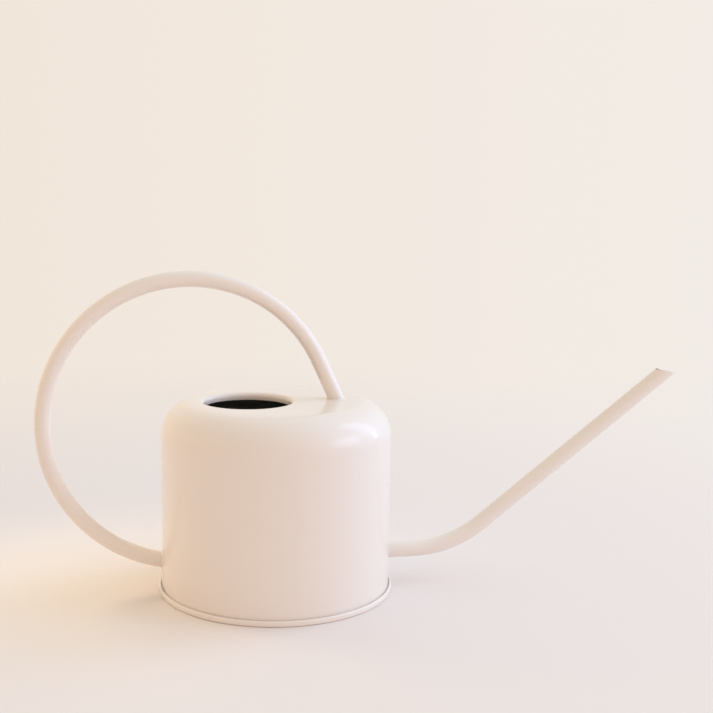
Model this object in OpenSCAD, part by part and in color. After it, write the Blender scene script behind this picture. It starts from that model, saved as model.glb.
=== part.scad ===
/* [Body] */
// Outer diameter of the round body
body_d = 140; // [136:1:160]
// Height of the flat top above the surface the can stands on
body_h = 117; // [104:1:150]
// Outer radius of the rounded shoulder
shoulder_r = 20.5; // [14:0.5:22]
// Thickness of the coated steel sheet
sheet_t = 0.8; // [0.6:0.1:1]

/* [Foot seam] */
// Height of the folded bead at the foot
bead_h = 3.6; // [3.6:0.1:5]
// How far the bead stands out beyond the body wall
bead_out = 2; // [1.8:0.1:3]
// Height of the recessed bottom above the surface
base_lift = 5; // [4:0.5:10]

/* [Filler] */
// Distance from the body's axis back to the filler's axis
filler_back = 17.7; // [8:0.1:20]
// Clear diameter of the filler collar
filler_d = 53; // [40:0.5:56]
// Radius of the filler's turned-down edge
filler_roll = 2.8; // [1.5:0.1:3.5]
// Depth of the collar below the flat top
collar_depth = 4.8; // [4.2:0.1:12]

/* [Handle] */
// Outer diameter of the handle tube
handle_d = 9.6; // [8:0.2:12]
// Radius of the handle's ring, to the middle of the tube
ring_r = 86.5; // [84:0.5:92]
// Distance from the body's axis back to the ring's centre
ring_back = 52.5; // [48:0.5:56]
// Height of the ring's centre
ring_z = 104.2; // [100:0.2:108]
// Straight stretch of tube above the handle's front foot
foot_run = 26; // [14:1:28]

/* [Spout] */
// Outer diameter of the spout tube
spout_d = 10; // [8:0.2:12]
// Height of the spout's axis where it leaves the body
spout_z = 19.2; // [17:0.2:30]
// Level stretch between the body wall and the bend
stub_run = 18; // [6:1:30]
// Radius of the bend, to the middle of the tube
bend_r = 71; // [40:1:90]
// Angle of the straight run above the horizontal
spout_rise = 38.3; // [35.3:1:38.3]
// Length of the straight run up to the middle of the mouth
spout_run = 155; // [90:1:180]
// Forward slope of the mouth's cut, from the horizontal
mouth_tilt = 11; // [0:1:25]

/* [Tube joints] */
// Wall thickness of both tubes
tube_t = 0.8; // [0.6:0.1:1.2]
// Leg of the brazed fillets round the tube ends
fillet_leg = 1; // [1:0.1:2]
// How far the spout tube reaches into the body
spout_inside = 3; // [2:0.5:6]

/* [Hidden] */
$fn = 180;

cream = [0.93, 0.87, 0.81];
dark_seal = [0.16, 0.15, 0.14];
// A small thickness or overlap
eps = 0.01;

// How far a cutter runs past the surface that it cuts, and the size of the large ones
overshoot = 1;
cut_size = 60;
// Facets of the cutters that shape the small brazed fillets, and of a fillet that is hulled
fine_wall_fn = 720;
fine_tube_fn = 360;
hull_fn = 48;

// Body
body_r = body_d / 2;
wall_in_r = body_r - sheet_t;
shoulder_z = body_h - shoulder_r;
flat_r = body_r - shoulder_r;

// Foot seam: the base's rim is folded round the flange of the body
bead_r = body_r + bead_out;
hem_in_r = bead_r - sheet_t;
hem_under_z = bead_h - sheet_t;
fold_r = 0.4;
fold_out_r = fold_r + sheet_t;
flange_r = hem_in_r - fold_r;
// Radius of the body wall's outward flare above the flange, and the flat flange's share of its width
flange_share = 0.3;
flare_r = (1 - flange_share) * (flange_r - body_r);
flange_z = hem_under_z - sheet_t;
flare_z = hem_under_z + flare_r;
base_corner_r = 2;
base_top_z = base_lift + sheet_t;

// Filler
filler_r = filler_d / 2;
filler_lip_r = filler_r + filler_roll;

// Handle: the straight foot is tangent to the ring and ends on the flat top
handle_r = handle_d / 2;
foot_angle = asin((body_h - ring_z) / norm([ring_r, foot_run])) + atan(foot_run / ring_r);
ring_x = -ring_back;
foot_x = ring_x + ring_r * cos(foot_angle) + foot_run * sin(foot_angle);
rear_angle = 180 + acos((body_r - ring_back) / ring_r);
rear_z = ring_z + ring_r * sin(rear_angle);
// How far the handle's rod is carried on past its ends: degrees at the rear, length at the foot
rear_overrun = 3.5;
foot_overrun = 2 * handle_r;
// Width of the front fillet's upper edge
fillet_edge = 0.1;

// Spout
spout_r = spout_d / 2;
bend_x = body_r + stub_run;
// Share of the bend that is drawn from each end, so that the two overlap
bend_share = 0.6;
part_bend = bend_share * spout_rise;
mouth_overrun = 4 * spout_r;
run_foot = [bend_x + bend_r * sin(spout_rise), 0, spout_z + bend_r * (1 - cos(spout_rise))];
mouth = run_foot + spout_run * [cos(spout_rise), 0, sin(spout_rise)];

// A quarter of a flat ring, in the quadrant that the two signs name
module quarter_ring(x, z, r_out, r_in, side_x, side_z) {
    intersection() {
        translate([x, z]) difference() {
            circle(r = r_out);
            circle(r = r_in);
        }
        translate([x + min(side_x, 0) * r_out, z + min(side_z, 0) * r_out]) square(r_out);
    }
}

// A filled bar of a section, from one corner to the opposite one
module bar(x0, z0, x1, z1) {
    translate([x0, z0]) square([x1 - x0, z1 - z0]);
}

// A large block that stands on the origin, for cutting a tube off
module cut_block() {
    translate([-cut_size / 2, -cut_size / 2, 0]) cube(cut_size);
}

// Wall, shoulder and flat top, with the flange that the base is folded onto
module shell_section() {
    bar(wall_in_r, flare_z, body_r, shoulder_z);
    quarter_ring(flat_r, shoulder_z, shoulder_r, shoulder_r - sheet_t, 1, 1);
    bar(0, body_h - sheet_t, flat_r, body_h);
    quarter_ring(body_r + flare_r, flare_z, flare_r + sheet_t, flare_r, -1, -1);
    bar(body_r + flare_r, flange_z, flange_r, hem_under_z);
}

// The filler's edge, rolled down from the flat top into a short collar
module collar_section() {
    quarter_ring(filler_lip_r, body_h - filler_roll, filler_roll, filler_roll - sheet_t, -1, 1);
    bar(filler_r, body_h - collar_depth, filler_r + sheet_t, body_h - filler_roll);
}

module body_shell() {
    color(cream) {
        difference() {
            rotate_extrude() shell_section();
            translate([-filler_back, 0, body_h - shoulder_r]) cylinder(r = filler_lip_r, h = cut_size);
            translate([flat_r, 0, spout_z]) rotate([0, 90, 0]) cylinder(r = spout_r, h = cut_size);
        }
        translate([-filler_back, 0, 0]) rotate_extrude() collar_section();
    }
}

// Recessed disc, wall, foot ring, and the hem that is folded over the flange
module base_section() {
    bar(0, base_lift, wall_in_r - base_corner_r, base_top_z);
    quarter_ring(wall_in_r - base_corner_r, base_top_z - base_corner_r,
        base_corner_r, base_corner_r - sheet_t, 1, 1);
    bar(wall_in_r - sheet_t, fold_out_r, wall_in_r, base_top_z - base_corner_r);
    quarter_ring(wall_in_r + fold_r, fold_out_r, fold_out_r, fold_r, -1, -1);
    bar(wall_in_r + fold_r, 0, flange_r, sheet_t);
    quarter_ring(flange_r, fold_out_r, fold_out_r, fold_r, 1, -1);
    bar(hem_in_r, fold_out_r, bead_r, bead_h - fold_out_r);
    quarter_ring(flange_r, bead_h - fold_out_r, fold_out_r, fold_r, 1, 1);
    bar(body_r + flare_r, hem_under_z, flange_r, bead_h);
}

module base_plate() {
    color(cream) rotate_extrude() base_section();
}

// What is left inside the seam once the flange is in it
module sealant_section() {
    difference() {
        bar(wall_in_r, sheet_t, hem_in_r, flare_z);
        quarter_ring(body_r + flare_r, flare_z, flare_r + sheet_t, 0, -1, -1);
        bar(body_r + flare_r, flange_z, flange_r, flare_z + overshoot);
        bar(flange_r - eps, hem_under_z, hem_in_r + overshoot, flare_z + overshoot);
        base_section();
    }
}

module seam_sealant() {
    color(dark_seal) rotate_extrude() sealant_section();
}

// Rod that runs straight up to the +X axis and then bends through part of a ring in the XZ plane
module bent_rod(middle_r, rod_r, sweep, lead) {
    translate([middle_r, 0, -lead]) cylinder(r = rod_r, h = lead);
    rotate([90, 0, 0]) rotate_extrude(angle = sweep) translate([middle_r, 0]) circle(r = rod_r);
}

// The handle's path, filled out to a given radius and carried on past both ends
module handle_rod(rod_r) {
    translate([ring_x, 0, ring_z]) rotate([0, -foot_angle, 0])
        bent_rod(ring_r, rod_r, rear_angle + rear_overrun - foot_angle, foot_run + foot_overrun);
}

module handle_tube() {
    color(cream) difference() {
        handle_rod(handle_r);
        handle_rod(handle_r - tube_t);
        translate([foot_x, 0, body_h - cut_size]) cut_block();
        cylinder(r = body_r, h = cut_size);
    }
}

// The spout's path, filled out to a given radius and carried on past the mouth. It is drawn from
// both ends, and the two halves overlap in the middle of the bend.
module spout_rod(rod_r, extra) {
    translate([bend_x, 0, spout_z + bend_r]) {
        rotate([0, 90, 0]) bent_rod(bend_r, rod_r, part_bend, bend_x - wall_in_r + spout_inside + extra);
        rotate([0, 90 - spout_rise, 0]) mirror([0, 0, 1])
            bent_rod(bend_r, rod_r, part_bend, spout_run + mouth_overrun);
    }
}

module spout_tube() {
    color(cream) difference() {
        spout_rod(spout_r, 0);
        spout_rod(spout_r - tube_t, overshoot);
        translate(mouth) rotate([0, mouth_tilt, 0]) cut_block();
    }
}

// A straight-faced fillet round a tube that stands on a surface at z = 0. It starts below the
// surface and inside the tube, and the node that it's for cuts both away.
module fillet_ring(tube_r) {
    translate([0, 0, -sheet_t])
        cylinder(r1 = tube_r + fillet_leg + sheet_t, r2 = tube_r, h = fillet_leg + sheet_t);
}

module spout_braze() {
    color(cream) difference() {
        translate([body_r, 0, spout_z]) rotate([0, 90, 0]) fillet_ring(spout_r);
        cylinder(r = body_r, h = cut_size, $fn = fine_wall_fn);
        translate([wall_in_r - overshoot, 0, spout_z]) rotate([0, 90, 0]) cylinder(r = spout_r, h = cut_size);
    }
}

module handle_rear_braze() {
    color(cream) difference() {
        translate([-body_r, 0, rear_z]) rotate([0, -90, 0]) fillet_ring(handle_r);
        cylinder(r = body_r, h = cut_size, $fn = fine_wall_fn);
        handle_rod(handle_r, $fn = fine_tube_fn);
    }
}

// The front foot leans, so its bead is drawn from two slices of the leaning tube
module handle_front_braze() {
    lean = 1 / cos(foot_angle);
    color(cream) difference() {
        hull() {
            translate([foot_x, 0, body_h]) scale([lean, 1, 1])
                cylinder(r = handle_r + fillet_leg, h = eps, $fn = hull_fn);
            translate([foot_x - fillet_leg * tan(foot_angle), 0, body_h + fillet_leg]) scale([lean, 1, 1])
                cylinder(r = handle_r + fillet_edge, h = eps, $fn = hull_fn);
        }
        handle_rod(handle_r);
    }
}

body_shell();
base_plate();
seam_sealant();
handle_tube();
spout_tube();
spout_braze();
handle_front_braze();
handle_rear_braze();
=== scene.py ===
"""The watering can's looks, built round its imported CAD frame. Every length is in metres."""
import math

import bmesh
import bpy
from mathutils import Matrix, Vector

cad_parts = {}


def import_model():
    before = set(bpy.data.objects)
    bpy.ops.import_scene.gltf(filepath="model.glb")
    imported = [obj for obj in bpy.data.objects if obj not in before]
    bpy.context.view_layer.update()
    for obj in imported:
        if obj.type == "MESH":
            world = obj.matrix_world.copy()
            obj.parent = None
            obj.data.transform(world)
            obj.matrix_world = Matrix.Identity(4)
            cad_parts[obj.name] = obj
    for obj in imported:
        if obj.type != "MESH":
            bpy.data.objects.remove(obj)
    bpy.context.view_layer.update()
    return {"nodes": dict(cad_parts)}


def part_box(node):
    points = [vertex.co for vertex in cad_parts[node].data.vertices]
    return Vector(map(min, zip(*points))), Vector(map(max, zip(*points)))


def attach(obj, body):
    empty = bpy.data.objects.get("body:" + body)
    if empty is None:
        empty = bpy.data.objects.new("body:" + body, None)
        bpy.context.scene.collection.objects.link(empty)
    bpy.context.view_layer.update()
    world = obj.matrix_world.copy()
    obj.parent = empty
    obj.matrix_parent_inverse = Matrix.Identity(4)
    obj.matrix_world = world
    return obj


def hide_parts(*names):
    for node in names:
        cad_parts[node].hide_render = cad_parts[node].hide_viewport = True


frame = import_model()
MM = 0.001

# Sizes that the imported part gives
BODY_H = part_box("body_shell")[1].z
BEAD_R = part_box("base_plate")[1].x
HANDLE_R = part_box("handle_tube")[1].y
SPOUT_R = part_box("spout_tube")[1].y
BASE_TOP_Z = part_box("base_plate")[1].z

# Sizes of the drawn shell, its seam and the filler
BEAD_OUT = 2.0 * MM
BODY_R = BEAD_R - BEAD_OUT
SHEET = 0.8 * MM
SHOULDER_R = 20.5 * MM
BEAD_H = 3.6 * MM
FOLD_R = 0.4 * MM
FLANGE_SHARE = 0.3
FLARE_R = (1 - FLANGE_SHARE) * (BEAD_R - SHEET - FOLD_R - BODY_R)
BASE_CORNER_R = 2.0 * MM
FILLER_X = -17.7 * MM
FILLER_R = 26.5 * MM
FILLER_ROLL = 2.8 * MM
COLLAR_DEPTH = 4.8 * MM
DARK_SKIN_THICK = 0.12 * MM

# The handle's ring and the spout's path, in the plane Y = 0
RING_R = 86.5 * MM
RING_X = -52.5 * MM
RING_Z = 104.2 * MM
FOOT_RUN = 26.0 * MM
SPOUT_Z = 19.2 * MM
STUB_RUN = 18.0 * MM
SPOUT_INSIDE = 3.0 * MM
BEND_R = 71.0 * MM
SPOUT_RISE = math.radians(38.3)
SPOUT_RUN = 155.0 * MM
MOUTH_TILT = math.radians(11.0)
FILLET = 0.8 * MM

# Mesh density, and the angles past which an edge is sharp
ROUND_STEPS = 256
TUBE_STEPS = 64
CORNER_STEPS = 6
SHARP_ANGLE = math.radians(50)
LIP_SHARP_ANGLE = math.radians(60)


# ---------------------------------------------------------------- mesh tools

def spread(a, b, count):
    """count + 1 even steps from a to b."""
    return [a + (b - a) * i / count for i in range(count + 1)]


def arc(cx, r0, z0, radius, start, end, count):
    """Stations (centre x, radius, z) along part of a circle, angles in degrees."""
    angles = [math.radians(a) for a in spread(start, end, count)]
    return [(cx, r0 + radius * math.cos(a), z0 + radius * math.sin(a)) for a in angles]


def line(first, last, count):
    """Stations between two stations, the first left out."""
    return [tuple(p + (q - p) * i / count for p, q in zip(first, last)) for i in range(1, count + 1)]


def turned(stations, count=ROUND_STEPS):
    """One ring of points for each station of a turned outline."""
    angles = [2 * math.pi * i / count for i in range(count)]
    return [[Vector((cx + r * math.cos(a), r * math.sin(a), z)) for a in angles] for cx, r, z in stations]


def skin(name, rings, looped=True):
    """Quads between neighbouring rings. A looped skin also joins the last ring to the first; an
    open one is closed with a fan at either end."""
    mesh = bpy.data.meshes.new(name)
    bm = bmesh.new()
    grid = [[bm.verts.new(p) for p in ring] for ring in rings]
    count = len(rings[0])
    pairs = list(zip(grid, grid[1:]))
    if looped:
        pairs.append((grid[-1], grid[0]))
    for lower, upper in pairs:
        for i in range(count):
            j = (i + 1) % count
            bm.faces.new((lower[i], lower[j], upper[j], upper[i]))
    if not looped:
        for ring in (grid[0], grid[-1]):
            middle = bm.verts.new(sum((v.co for v in ring), Vector()) / count)
            for i in range(count):
                bm.faces.new((ring[i], ring[(i + 1) % count], middle))
    bmesh.ops.recalc_face_normals(bm, faces=bm.faces)
    for face in bm.faces:
        face.smooth = True
    bm.to_mesh(mesh)
    bm.free()
    obj = bpy.data.objects.new(name, mesh)
    bpy.context.scene.collection.objects.link(obj)
    return obj


def drill(obj, centre, radius, depth):
    """Cuts a round hole along X through an object."""
    rings = [[centre + Vector((x, radius * math.cos(a), radius * math.sin(a)))
              for a in [2 * math.pi * i / TUBE_STEPS for i in range(TUBE_STEPS)]]
             for x in (-depth, depth)]
    cutter = skin(obj.name + "_cutter", rings, looped=False)
    hole = obj.modifiers.new("hole", "BOOLEAN")
    hole.operation = "DIFFERENCE"
    hole.solver = "EXACT"
    hole.object = cutter
    graph = bpy.context.evaluated_depsgraph_get()
    cut = bpy.data.meshes.new_from_object(obj.evaluated_get(graph))
    obj.modifiers.remove(hole)
    obj.data = cut
    bpy.data.objects.remove(cutter)
    for face in cut.polygons:
        face.use_smooth = True
    cut.set_sharp_from_angle(angle=SHARP_ANGLE)


def finish_piece(obj, material, slot, *nodes):
    """Gives a piece its material and its body, and hides the CAD nodes that it stands for. The slot
    argument is not used.
    """
    obj.data.materials.clear()
    obj.data.materials.append(material)
    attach(obj, "root")
    if nodes:
        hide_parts(*nodes)


# ---------------------------------------------------------------- materials

def node(tree, kind, **inputs):
    """Adds a shader node and sets the named inputs."""
    made = tree.nodes.new(kind)
    for key, value in inputs.items():
        made.inputs[key.replace("_", " ")].default_value = value
    return made


def ramp(tree, source, low, high):
    """Maps a 0 to 1 value to the range low to high."""
    made = node(tree, "ShaderNodeMapRange")
    made.inputs["To Min"].default_value = low
    made.inputs["To Max"].default_value = high
    tree.links.new(source, made.inputs["Value"])
    return made.outputs["Result"]


def noise(tree, coords, scale, detail=2.0):
    """Noise on object coordinates, scale in bumps a metre."""
    made = node(tree, "ShaderNodeTexNoise", Scale=scale, Detail=detail)
    tree.links.new(coords, made.inputs["Vector"])
    return made.outputs["Fac"]


def blend_colour(tree, factor, first, second):
    """A colour between two, by a 0 to 1 factor."""
    made = tree.nodes.new("ShaderNodeMix")
    made.data_type = "RGBA"
    made.inputs["A"].default_value = first
    made.inputs["B"].default_value = second
    tree.links.new(factor, made.inputs["Factor"])
    return made.outputs["Result"]


def coated(name, pale, warm, rough, coat, peel):
    """Sprayed and baked coating: a slow drift of colour, small changes of gloss and orange peel."""
    material = bpy.data.materials.new(name)
    material.use_nodes = True
    tree = material.node_tree
    shader = tree.nodes["Principled BSDF"]
    coords = tree.nodes.new("ShaderNodeTexCoord").outputs["Object"]

    drift = noise(tree, coords, 14.0)
    colour = blend_colour(tree, drift, pale, warm)
    tree.links.new(colour, shader.inputs["Base Color"])

    haze = noise(tree, coords, 90.0, 4.0)
    tree.links.new(ramp(tree, haze, rough * 0.85, rough * 1.15), shader.inputs["Roughness"])
    shader.inputs["Coat Weight"].default_value = coat
    shader.inputs["Coat Roughness"].default_value = 0.05
    shader.inputs["Coat IOR"].default_value = 1.5

    peel_height = noise(tree, coords, 420.0, 1.0)
    bump = node(tree, "ShaderNodeBump", Strength=peel, Distance=0.00004)
    tree.links.new(peel_height, bump.inputs["Height"])
    tree.links.new(bump.outputs["Normal"], shader.inputs["Normal"])
    tree.links.new(bump.outputs["Normal"], shader.inputs["Coat Normal"])
    return material


def rubbery(name, colour_a, colour_b):
    """Cured seam compound: dull, slightly grainy."""
    material = bpy.data.materials.new(name)
    material.use_nodes = True
    tree = material.node_tree
    shader = tree.nodes["Principled BSDF"]
    coords = tree.nodes.new("ShaderNodeTexCoord").outputs["Object"]
    grain = noise(tree, coords, 900.0, 3.0)
    tree.links.new(blend_colour(tree, grain, colour_a, colour_b), shader.inputs["Base Color"])
    tree.links.new(ramp(tree, grain, 0.65, 0.85), shader.inputs["Roughness"])
    bump = node(tree, "ShaderNodeBump", Strength=0.4, Distance=0.00005)
    tree.links.new(grain, bump.inputs["Height"])
    tree.links.new(bump.outputs["Normal"], shader.inputs["Normal"])
    return material


CREAM = coated("cream_coating", (0.87, 0.79, 0.725, 1), (0.885, 0.785, 0.71, 1), 0.30, 0.75, 0.18)
# A dark grey colour for the skin inside the body, so that the inside looks dark through the openings.
DARK = coated("inner_coating", (0.24, 0.25, 0.21, 1), (0.27, 0.27, 0.23, 1), 0.55, 0.0, 0.5)
SEALANT = rubbery("sealant", (0.012, 0.011, 0.010, 1), (0.03, 0.028, 0.026, 1))


# ---------------------------------------------------------------- the body

WALL_IN_R = BODY_R - SHEET
FLAT_R = BODY_R - SHOULDER_R
SHOULDER_Z = BODY_H - SHOULDER_R
LIP_R = FILLER_R + FILLER_ROLL
ROLL_Z = BODY_H - FILLER_ROLL
COLLAR_Z = BODY_H - COLLAR_DEPTH
HEM_IN_R = BEAD_R - SHEET
HEM_UNDER_Z = BEAD_H - SHEET
FLARE_Z = HEM_UNDER_Z + FLARE_R
FLANGE_R = HEM_IN_R - FOLD_R
FOLD_OUT_R = FOLD_R + SHEET
EDGE = SHEET / 2
SPOUT_ROOT = Vector((BODY_R, 0, SPOUT_Z))


def body_shell():
    """Collar, roll, flat top, shoulder, wall, flare and flange, and back along the inside."""
    out = arc(FILLER_X, LIP_R, ROLL_Z, FILLER_ROLL, 180, 90, 12)
    out += line((FILLER_X, LIP_R, BODY_H), (0, FLAT_R, BODY_H), 10)
    out += arc(0, FLAT_R, SHOULDER_Z, SHOULDER_R, 90, 0, 32)[1:]
    out += line((0, BODY_R, SHOULDER_Z), (0, BODY_R, FLARE_Z), 40)
    out += arc(0, BODY_R + FLARE_R, FLARE_Z, FLARE_R, 180, 270, CORNER_STEPS)[1:]
    out += arc(0, FLANGE_R - EDGE, HEM_UNDER_Z - EDGE, EDGE, 90, -90, CORNER_STEPS)
    out += arc(0, BODY_R + FLARE_R, FLARE_Z, FLARE_R + SHEET, 270, 180, CORNER_STEPS)
    out += line((0, WALL_IN_R, FLARE_Z), (0, WALL_IN_R, SHOULDER_Z), 40)
    out += arc(0, FLAT_R, SHOULDER_Z, SHOULDER_R - SHEET, 0, 90, 24)[1:]
    out += line((0, FLAT_R, BODY_H - SHEET), (FILLER_X, LIP_R, BODY_H - SHEET), 6)
    out += arc(FILLER_X, LIP_R, ROLL_Z, FILLER_ROLL - SHEET, 90, 180, 8)[1:]
    out += arc(FILLER_X, FILLER_R + EDGE, COLLAR_Z + EDGE, EDGE, 0, -180, CORNER_STEPS)
    shell = skin("body_shell_drawn", turned(out))
    drill(shell, SPOUT_ROOT, SPOUT_R, 4 * SHEET)
    finish_piece(shell, CREAM, "cream_coating", "body_shell")


def body_dark_skin():
    """A dark skin just off the sheet inside the body, open at the collar and the spout."""
    gap = 0.03 * MM
    near = WALL_IN_R - gap
    far = near - DARK_SKIN_THICK
    low = BASE_TOP_Z + gap
    turn = SHOULDER_R - SHEET - gap
    roll = FILLER_ROLL - SHEET - gap
    top = BODY_H - SHEET - gap
    out = arc(FILLER_X, LIP_R, ROLL_Z, roll, 180, 90, 8)
    out += line((FILLER_X, LIP_R, top), (0, FLAT_R, top), 6)
    out += arc(0, FLAT_R, SHOULDER_Z, turn, 90, 0, 24)[1:]
    out += line((0, near, SHOULDER_Z), (0, near, low + BASE_CORNER_R), 30)
    out += arc(0, near - BASE_CORNER_R, low + BASE_CORNER_R, BASE_CORNER_R, 0, -90, 8)[1:]
    out += line((0, near - BASE_CORNER_R, low), (0, near / 40, low), 20)
    back = line((0, near / 40, low + DARK_SKIN_THICK), (0, far - BASE_CORNER_R, low + DARK_SKIN_THICK), 20)
    back += arc(0, near - BASE_CORNER_R, low + BASE_CORNER_R, BASE_CORNER_R - DARK_SKIN_THICK, -90, 0, 8)
    back += line((0, far, low + BASE_CORNER_R), (0, far, SHOULDER_Z), 30)
    back += arc(0, FLAT_R, SHOULDER_Z, turn - DARK_SKIN_THICK, 0, 90, 24)[1:]
    back += line((0, FLAT_R, top - DARK_SKIN_THICK), (FILLER_X, LIP_R, top - DARK_SKIN_THICK), 6)
    back += arc(FILLER_X, LIP_R, ROLL_Z, roll - DARK_SKIN_THICK, 90, 180, 8)[1:]
    dark_skin = skin("body_dark_skin", turned(out + back))
    drill(dark_skin, SPOUT_ROOT, SPOUT_R + gap, 4 * SHEET)
    finish_piece(dark_skin, DARK, "inner_coating")


def base_plate():
    """The pressed bottom: disc, wall, foot ring and the hem folded over the flange."""
    disc_r = WALL_IN_R - BASE_CORNER_R
    corner_z = BASE_TOP_Z - BASE_CORNER_R
    start_r = disc_r / 12
    lip_r = BODY_R + FLARE_R + EDGE
    fold_z = BEAD_H - FOLD_OUT_R
    foot_r = WALL_IN_R + FOLD_R
    out = line((0, 0, BASE_TOP_Z), (0, disc_r, BASE_TOP_Z), 12)
    out += arc(0, disc_r, corner_z, BASE_CORNER_R, 90, 0, 8)[1:]
    out += line((0, WALL_IN_R, corner_z), (0, WALL_IN_R, FOLD_OUT_R), 2)
    out += arc(0, foot_r, FOLD_OUT_R, FOLD_R, 180, 270, CORNER_STEPS)[1:]
    out += arc(0, FLANGE_R, FOLD_OUT_R, FOLD_R, -90, 0, CORNER_STEPS)
    out += arc(0, FLANGE_R, fold_z, FOLD_R, 0, 90, CORNER_STEPS)
    out += arc(0, lip_r, BEAD_H - EDGE, EDGE, 270, 90, CORNER_STEPS)
    out += arc(0, FLANGE_R, fold_z, FOLD_OUT_R, 90, 0, 10)
    out += arc(0, FLANGE_R, FOLD_OUT_R, FOLD_OUT_R, 0, -90, 10)
    out += arc(0, foot_r, FOLD_OUT_R, FOLD_OUT_R, 270, 180, 10)
    out += line((0, WALL_IN_R - SHEET, FOLD_OUT_R), (0, WALL_IN_R - SHEET, corner_z), 2)
    out += arc(0, disc_r, corner_z, BASE_CORNER_R - SHEET, 0, 90, 8)[1:]
    out += line((0, disc_r, BASE_TOP_Z - SHEET), (0, start_r, BASE_TOP_Z - SHEET), 11)
    base = skin("base_plate_pressed", turned(out), looped=False)
    finish_piece(base, CREAM, "cream_coating", "base_plate")


# ---------------------------------------------------------------- the tubes

class Path:
    """A path in the plane Y = 0, made of straight runs and bends: place and heading at a length."""

    def __init__(self, start, heading):
        self.stations = [(0.0, start, heading)]

    def run(self, length, count):
        """A straight run."""
        at, point, heading = self.stations[-1]
        step = Vector((math.cos(heading), 0, math.sin(heading)))
        for s in spread(0, length, count)[1:]:
            self.stations.append((at + s, point + step * s, heading))
        return self

    def bend(self, radius, angle, count):
        """A bend through a signed angle, positive to the left of the heading."""
        at, point, heading = self.stations[-1]
        side = math.copysign(1, angle)
        centre = point + side * radius * Vector((-math.sin(heading), 0, math.cos(heading)))
        for a in spread(0, angle, count)[1:]:
            out = Vector((math.sin(heading + a), 0, -math.cos(heading + a))) * side * radius
            self.stations.append((at + abs(a) * radius, centre + out, heading + a))
        return self


def tube_ring(point, heading, radius):
    """A ring of points round a path."""
    side = Vector((-math.sin(heading), 0, math.cos(heading)))
    angles = [2 * math.pi * i / TUBE_STEPS for i in range(TUBE_STEPS)]
    return [point + radius * (math.cos(a) * side + math.sin(a) * Vector((0, 1, 0))) for a in angles]


def slide(point, heading, distance):
    """A point moved along a heading."""
    return point + distance * Vector((math.cos(heading), 0, math.sin(heading)))


def to_plane(point, heading, anchor, normal):
    """How far a point goes along a heading to reach a plane."""
    step = Vector((math.cos(heading), 0, math.sin(heading)))
    return (anchor - point).dot(normal) / step.dot(normal)


def to_wall(point, heading):
    """How far a point goes along a heading to reach the body's round wall, from outside."""
    step = Vector((math.cos(heading), 0))
    flat = Vector((point.x, point.y))
    a, b, c = step.dot(step), 2 * flat.dot(step), flat.dot(flat) - BODY_R ** 2
    root = math.sqrt(b * b - 4 * a * c)
    return min((-b - root) / (2 * a), (-b + root) / (2 * a), key=abs)


def tube_rings(path, radius, first_end, last_end):
    """Rings along a path, with the end rings slid along the tube by the two end rules."""
    rings = [tube_ring(point, heading, radius) for _, point, heading in path.stations]
    first, last = path.stations[0][2], path.stations[-1][2]
    rings[0] = [slide(p, first, first_end(p, first)) for p in rings[0]]
    rings[-1] = [slide(p, last, last_end(p, last)) for p in rings[-1]]
    return rings


FOOT_ANGLE = (math.asin((BODY_H - RING_Z) / math.hypot(RING_R, FOOT_RUN))
              + math.atan(FOOT_RUN / RING_R))
REAR_ANGLE = math.pi + math.acos((BODY_R + RING_X) / RING_R)
FOOT_HEADING = FOOT_ANGLE + math.pi / 2
FOOT_POINT = Vector((RING_X + RING_R * math.cos(FOOT_ANGLE) + FOOT_RUN * math.sin(FOOT_ANGLE),
                     0, BODY_H))
REAR_HEADING = REAR_ANGLE + math.pi / 2
REAR_POINT = Vector((-BODY_R, 0, RING_Z + RING_R * math.sin(REAR_ANGLE)))
UP = Vector((0, 0, 1))


def foot_end(point, heading):
    """The handle's front foot ends on the flat top."""
    return to_plane(point, heading, FOOT_POINT, UP)


def handle():
    """The handle tube: a straight foot, then most of a ring, down to the rear of the wall."""
    path = Path(FOOT_POINT, FOOT_HEADING).run(FOOT_RUN, 8)
    path.bend(RING_R, REAR_ANGLE - FOOT_ANGLE, 160)
    outer = tube_rings(path, HANDLE_R, foot_end, to_wall)
    inner = tube_rings(path, HANDLE_R - SHEET, foot_end, to_wall)
    tube = skin("handle_tube_bent", outer + inner[::-1])
    tube.data.set_sharp_from_angle(angle=SHARP_ANGLE)
    finish_piece(tube, CREAM, "cream_coating", "handle_tube")


BEND_X = BODY_R + STUB_RUN
MOUTH = Vector((BEND_X + BEND_R * math.sin(SPOUT_RISE) + SPOUT_RUN * math.cos(SPOUT_RISE), 0,
                SPOUT_Z + BEND_R * (1 - math.cos(SPOUT_RISE)) + SPOUT_RUN * math.sin(SPOUT_RISE)))
MOUTH_NORMAL = Vector((math.sin(MOUTH_TILT), 0, math.cos(MOUTH_TILT)))


def mouth_end(point, heading):
    """The spout ends on its slanting cut."""
    return to_plane(point, heading, MOUTH, MOUTH_NORMAL)


def square_end(point, heading):
    """A tube end that is cut square."""
    return 0.0


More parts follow.
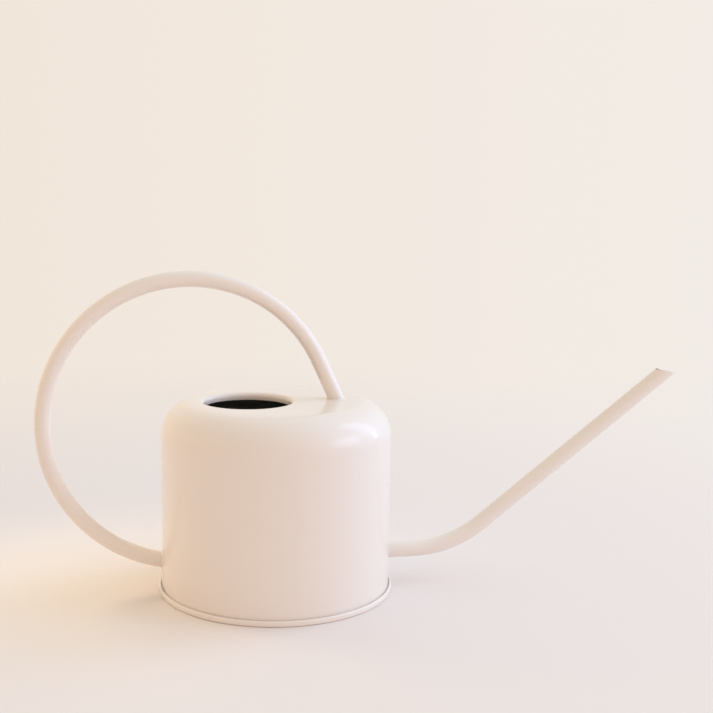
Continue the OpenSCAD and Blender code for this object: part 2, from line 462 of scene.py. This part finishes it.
def spout():
    """The spout tube: level stub from inside the body, bend, long straight run, slanting mouth
    with its cut edge rounded by the coating."""
    start = Vector((WALL_IN_R - SPOUT_INSIDE, 0, SPOUT_Z))
    path = Path(start, 0).run(BEND_X - start.x, 10).bend(BEND_R, SPOUT_RISE, 40)
    path.run(SPOUT_RUN, 48)
    outer = tube_rings(path, SPOUT_R, square_end, mouth_end)
    inner = tube_rings(path, SPOUT_R - SHEET, square_end, mouth_end)
    middle = tube_rings(path, SPOUT_R - EDGE, square_end, mouth_end)
    heading = path.stations[-1][2]
    round_r = 0.3 * MM
    lip = []
    for ring, corner in ((outer[-1], -1), (inner[-1], 1)):
        rounded = []
        for a in spread(0, math.pi / 2, 3):
            back, inward = round_r * (1 - math.sin(a)), round_r * (1 - math.cos(a))
            share = inward / EDGE
            rounded.append([slide(p.lerp(m, share), heading, -back) for p, m in zip(ring, middle[-1])])
        lip += rounded if corner < 0 else rounded[::-1]
    tube = skin("spout_tube_bent", outer[:-1] + lip + inner[-2::-1])
    tube.data.set_sharp_from_angle(angle=LIP_SHARP_ANGLE)
    finish_piece(tube, CREAM, "cream_coating", "spout_tube")


# ---------------------------------------------------------------- the fillets

def fillet(name, cad_node, point, heading, radius, rule, away):
    """A hollow-faced bead round a tube's end. rule slides a ring onto the surface that the tube
    stands on; away gives the direction along that surface, outward from the tube."""
    ring = tube_ring(point, heading, radius)
    foot = [slide(p, heading, rule(p, heading)) for p in ring]
    along = Vector((math.cos(heading), 0, math.sin(heading)))
    rings = []
    for a in spread(0, math.pi / 2, 8):
        out, up = FILLET * (1 - math.sin(a)), FILLET * (1 - math.cos(a))
        rings.append([p + away(p) * out + along * up for p in foot])
    sunk = 0.25 * MM
    axis = [point + along * (p - point).dot(along) for p in foot]
    rings.append([p + (c - p).normalized() * sunk + along * FILLET for p, c in zip(foot, axis)])
    rings.append([p + (c - p).normalized() * sunk - along * sunk for p, c in zip(foot, axis)])
    rings.append([p + away(p) * FILLET - along * sunk for p in foot])
    bead = skin(name, rings)
    finish_piece(bead, CREAM, "cream_coating", cad_node)


def away_on_flat(point):
    """Outward from the front foot, along the flat top."""
    return (Vector((point.x, point.y, BODY_H)) - FOOT_POINT).normalized()


def away_on_wall(middle):
    """Outward from a tube's end, along the round wall."""
    def away(point):
        out = point - middle
        normal = Vector((point.x, point.y, 0)).normalized()
        return (out - normal * out.dot(normal)).normalized()
    return away


def fillets():
    fillet("handle_front_bead", "handle_front_braze", FOOT_POINT, FOOT_HEADING, HANDLE_R,
           foot_end, away_on_flat)
    fillet("handle_rear_bead", "handle_rear_braze", REAR_POINT, REAR_HEADING + math.pi, HANDLE_R,
           to_wall, away_on_wall(REAR_POINT))
    fillet("spout_bead", "spout_braze", SPOUT_ROOT, 0.0, SPOUT_R, to_wall, away_on_wall(SPOUT_ROOT))


body_shell()
body_dark_skin()
base_plate()
handle()
spout()
fillets()
frame["nodes"]["seam_sealant"].data.materials.clear()
frame["nodes"]["seam_sealant"].data.materials.append(SEALANT)


# ---------------------------------------------------------------- floor, light and camera

def floor():
    """A wide pale sheet whose far parts fade into the backdrop."""
    radius, steps = 2.5, 96
    mesh = bpy.data.meshes.new("floor")
    bm = bmesh.new()
    angles = [2 * math.pi * i / steps for i in range(steps)]
    bm.faces.new([bm.verts.new((radius * math.cos(a), radius * math.sin(a), 0)) for a in angles])
    bm.to_mesh(mesh)
    bm.free()
    obj = bpy.data.objects.new("floor", mesh)
    bpy.context.scene.collection.objects.link(obj)
    material = bpy.data.materials.new("floor_paper")
    material.use_nodes = True
    tree = material.node_tree
    shader = tree.nodes["Principled BSDF"]
    shader.inputs["Base Color"].default_value = (0.87, 0.79, 0.745, 1)
    shader.inputs["Roughness"].default_value = 0.9
    shader.inputs["Specular IOR Level"].default_value = 0.1
    coords = tree.nodes.new("ShaderNodeTexCoord").outputs["Object"]
    length = tree.nodes.new("ShaderNodeVectorMath")
    length.operation = "LENGTH"
    tree.links.new(coords, length.inputs[0])
    fade = node(tree, "ShaderNodeMapRange")
    fade.interpolation_type = "SMOOTHSTEP"
    fade.inputs["From Min"].default_value = 0.15
    fade.inputs["From Max"].default_value = 1.0
    fade.inputs["To Min"].default_value = 1.0
    fade.inputs["To Max"].default_value = 0.0
    tree.links.new(length.outputs["Value"], fade.inputs["Value"])
    tree.links.new(fade.outputs["Result"], shader.inputs["Alpha"])
    obj.data.materials.append(material)


def tinted(tree, colour, source, low, high, first, second):
    """A colour multiplied by a tint, which goes from first to second as source goes from low to high."""
    along = node(tree, "ShaderNodeMapRange")
    along.inputs["From Min"].default_value = low
    along.inputs["From Max"].default_value = high
    tree.links.new(source, along.inputs["Value"])
    tint = tree.nodes.new("ShaderNodeMix")
    tint.data_type = "RGBA"
    tint.blend_type = "MULTIPLY"
    tint.inputs["Factor"].default_value = 1.0
    tree.links.new(colour, tint.inputs["A"])
    tree.links.new(blend_colour(tree, along.outputs["Result"], first, second), tint.inputs["B"])
    return tint.outputs["Result"]


def world():
    """The backdrop: warm on the left, cool on the right, less blue behind the camera and less red
    overhead."""
    made = bpy.data.worlds.new("studio")
    bpy.context.scene.world = made
    made.use_nodes = True
    tree = made.node_tree
    background = tree.nodes["Background"]
    coords = tree.nodes.new("ShaderNodeTexCoord").outputs["Generated"]
    split = tree.nodes.new("ShaderNodeSeparateXYZ")
    tree.links.new(coords, split.inputs[0])

    across = node(tree, "ShaderNodeMapRange")
    across.inputs["From Min"].default_value = -1.0
    tree.links.new(split.outputs["X"], across.inputs["Value"])
    sides = tree.nodes.new("ShaderNodeValToRGB")
    stops = sides.color_ramp.elements
    stops[0].position, stops[0].color = 0.0, (0.845, 0.69, 0.53, 1)
    stops[1].position, stops[1].color = 1.0, (0.80, 0.86, 0.95, 1)
    for place, colour in ((0.44, (0.885, 0.79, 0.70, 1)), (0.73, (0.89, 0.835, 0.785, 1))):
        stops.new(place).color = colour
    tree.links.new(across.outputs["Result"], sides.inputs["Fac"])

    none = (1, 1, 1, 1)
    behind = (0.985, 0.905, 0.885, 1)
    overhead = (0.80, 0.965, 1.0, 1)
    colour = tinted(tree, sides.outputs["Color"], split.outputs["Y"], -0.6, 0.4, behind, none)
    colour = tinted(tree, colour, split.outputs["Z"], 0.4, 1.0, none, overhead)
    tree.links.new(colour, background.inputs["Color"])


def area_light(name, place, aim, width, height, power, colour):
    """A soft rectangular light."""
    data = bpy.data.lights.new(name, "AREA")
    data.shape = "RECTANGLE"
    data.size, data.size_y = width, height
    data.energy = power
    data.color = colour
    obj = bpy.data.objects.new(name, data)
    obj.location = place
    obj.rotation_euler = (Vector(aim) - Vector(place)).to_track_quat("-Z", "Y").to_euler()
    bpy.context.scene.collection.objects.link(obj)
    return obj


def lights():
    """A cool window on the right, of two panes and a bright gap with a soft glow, and a warm light on
    the floor to the left."""
    shoulder = (0.04, -0.05, 0.104)
    sky = (0.54, 0.71, 1.0)
    pane = (0.47, 0.65, 1.0)
    lamp = (1.0, 0.82, 0.52)
    area_light("window_far_pane", (2.47, 0.69, 1.69), shoulder, 0.9, 2.2, 7.6, pane)
    area_light("window_near_pane", (2.65, -1.16, 1.08), shoulder, 1.7, 1.1, 9.5, pane)
    area_light("window_gap", (2.86, 0.87, 0.52), shoulder, 0.3, 0.6, 1.9, pane)
    glow = area_light("window_glow", (3.2, 0.25, 1.95), shoulder, 3.6, 3.2, 74.0, sky)
    fill = area_light("floor_fill", (-0.28, 0.14, 0.29), (-0.09, 0, 0), 0.12, 0.12, 0.042, lamp)
    fill.data.spread = math.radians(60)
    for light in (glow, fill):
        light.visible_glossy = False


def camera():
    """The camera, at the photograph's viewing angle."""
    distance, height = 687.8 * MM, 244.7 * MM
    swing, pan, pitch, roll = 0.1381, 0.0469, 0.1456, 0.0126
    data = bpy.data.cameras.new("camera")
    data.sensor_width = 36.0
    data.lens = 57.9
    data.shift_x = 0.037
    obj = bpy.data.objects.new("camera", data)
    place = Matrix.Translation((-distance * math.sin(swing), -distance * math.cos(swing), height))
    heading = Matrix.Rotation(-(swing + pan), 4, "Z")
    tilt = Matrix.Rotation(math.pi / 2 - pitch, 4, "X")
    obj.matrix_world = place @ heading @ tilt @ Matrix.Rotation(roll, 4, "Z")
    bpy.context.scene.collection.objects.link(obj)
    bpy.context.scene.camera = obj


floor()
world()
lights()
camera()
bpy.context.scene.view_settings.view_transform = "Standard"
